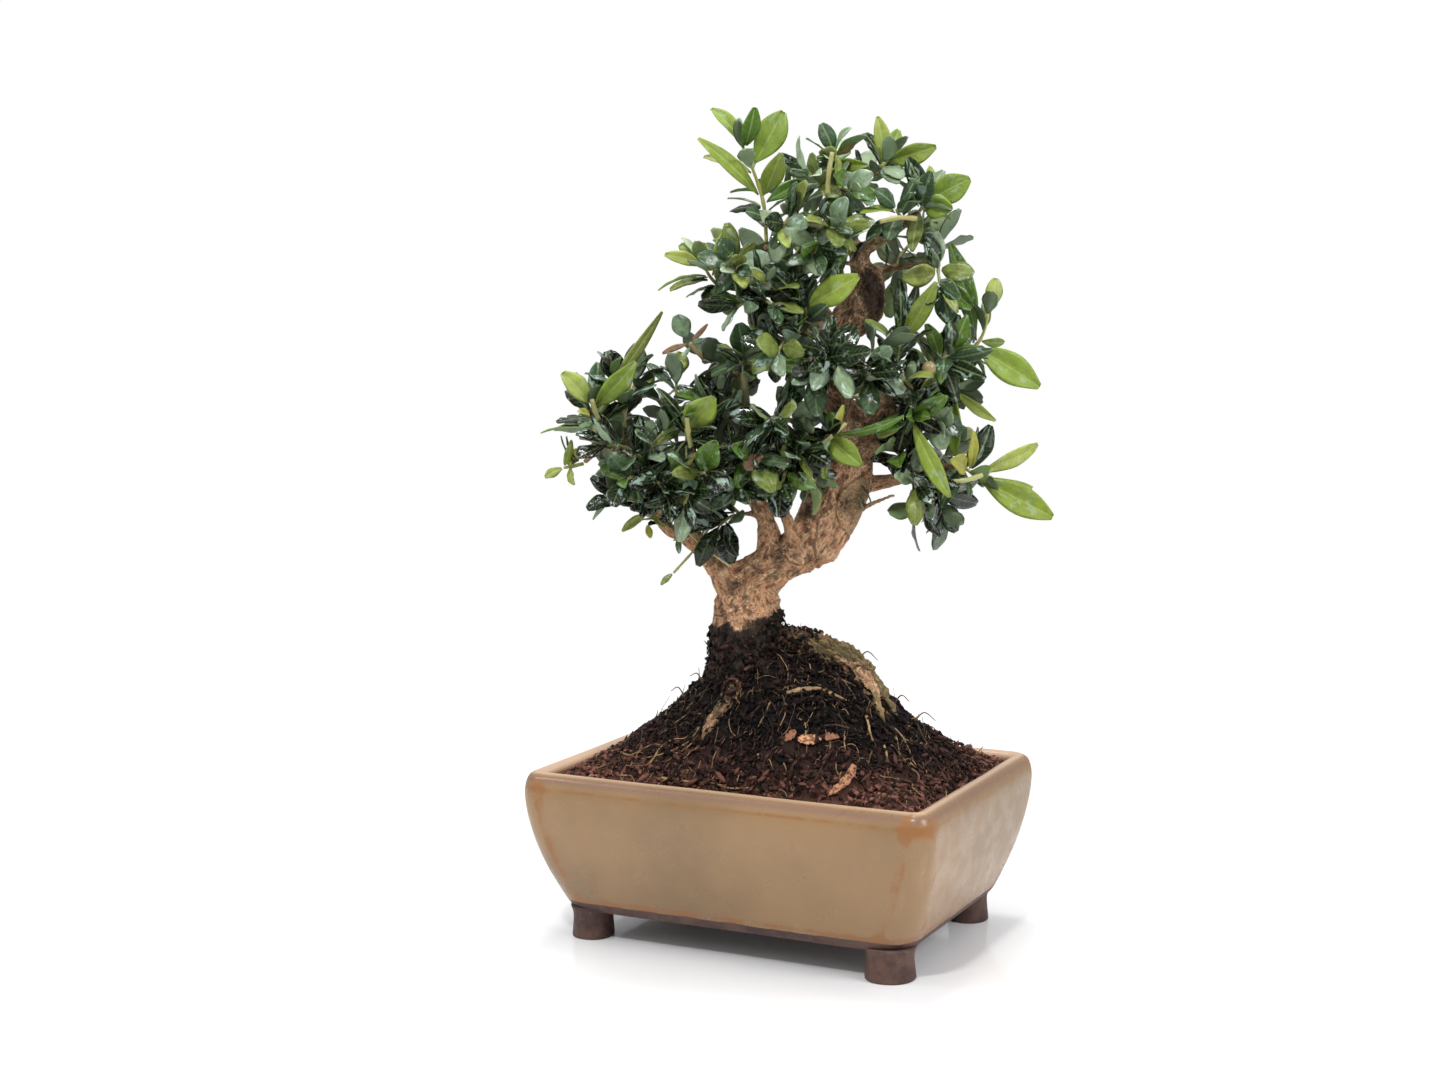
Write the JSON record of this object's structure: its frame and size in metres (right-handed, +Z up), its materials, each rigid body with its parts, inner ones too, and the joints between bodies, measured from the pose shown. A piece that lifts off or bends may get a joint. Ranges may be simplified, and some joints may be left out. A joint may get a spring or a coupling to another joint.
{
  "type": "dwarf olive bonsai in a glazed pot",
  "caption": "Small bonsai tree with a bent trunk, leafy sprays and surface roots on a mound of peat, growing in a rectangular glazed pot on round feet.",
  "frame": {"origin": "under the middle of the whole plant and pot's box, at the level of the pot's feet", "axes": "+Z up along the trunk, +X along the pot's long side, -Y out of the pot's long front side"},
  "size_m": [0.1774, 0.1504, 0.3213],
  "materials": {
    "pot_glaze": "satin tan glaze",
    "peat": "loose damp crumbs",
    "bark": "rough bark",
    "mature_leaves": "glossy",
    "young_leaves": "soft gloss"
  },
  "bodies": {
    "root": {"arm_back": "mature_leaves", "arm_front": "mature_leaves", "arm_under": "mature_leaves", "back_high_a": "mature_leaves", "back_low_a": "mature_leaves", "back_low_b": "mature_leaves", "back_middle_a": "mature_leaves", "back_middle_b": "mature_leaves", "back_right_a": "mature_leaves", "centre_hang": "mature_leaves", "centre_high": "mature_leaves", "centre_left": "mature_leaves", "centre_right": "mature_leaves", "centre_shoot": "young_leaves", "crown_back": "mature_leaves", "crown_front": "mature_leaves", "crown_left_shoot": "young_leaves", "crown_mid": "mature_leaves", "crown_right_shoot": "young_leaves", "crown_shoot": "young_leaves", "far_left_shoot": "young_leaves", "far_left_sprig": "young_leaves", "front_bright_shoot": "young_leaves", "hanging_left": "mature_leaves", "inner_front": "mature_leaves", "inner_left_shoot": "young_leaves", "inner_right": "mature_leaves", "left_crest": "mature_leaves", "left_front": "mature_leaves", "left_knob": "mature_leaves", "left_low": "mature_leaves", "left_mid": "mature_leaves", "left_outer": "mature_leaves", "left_pad_shoot": "young_leaves", "left_rear": "mature_leaves", "left_top_shoot": "young_leaves", "left_upper": "mature_leaves", "low_back": "mature_leaves", "low_front": "mature_leaves", "low_hang": "mature_leaves", "low_right_arch": "young_leaves", "low_right_shoot": "young_leaves", "middle_crest": "mature_leaves", "middle_front": "mature_leaves", "middle_low": "mature_leaves", "middle_upper": "mature_leaves", "neck_front": "mature_leaves", "pot": "pot_glaze", "right_knob_shoot": "young_leaves", "right_tall_shoot": "young_leaves", "right_top_inner": "young_leaves", "right_top_shoot": "young_leaves", "right_under_shoot": "young_leaves", "right_upper_shoot": "young_leaves", "side_back": "mature_leaves", "side_front": "mature_leaves", "soil": "peat", "trunk": "bark", "upper_left_high": "mature_leaves", "upper_left_low": "mature_leaves"}
  },
  "joints": []
}
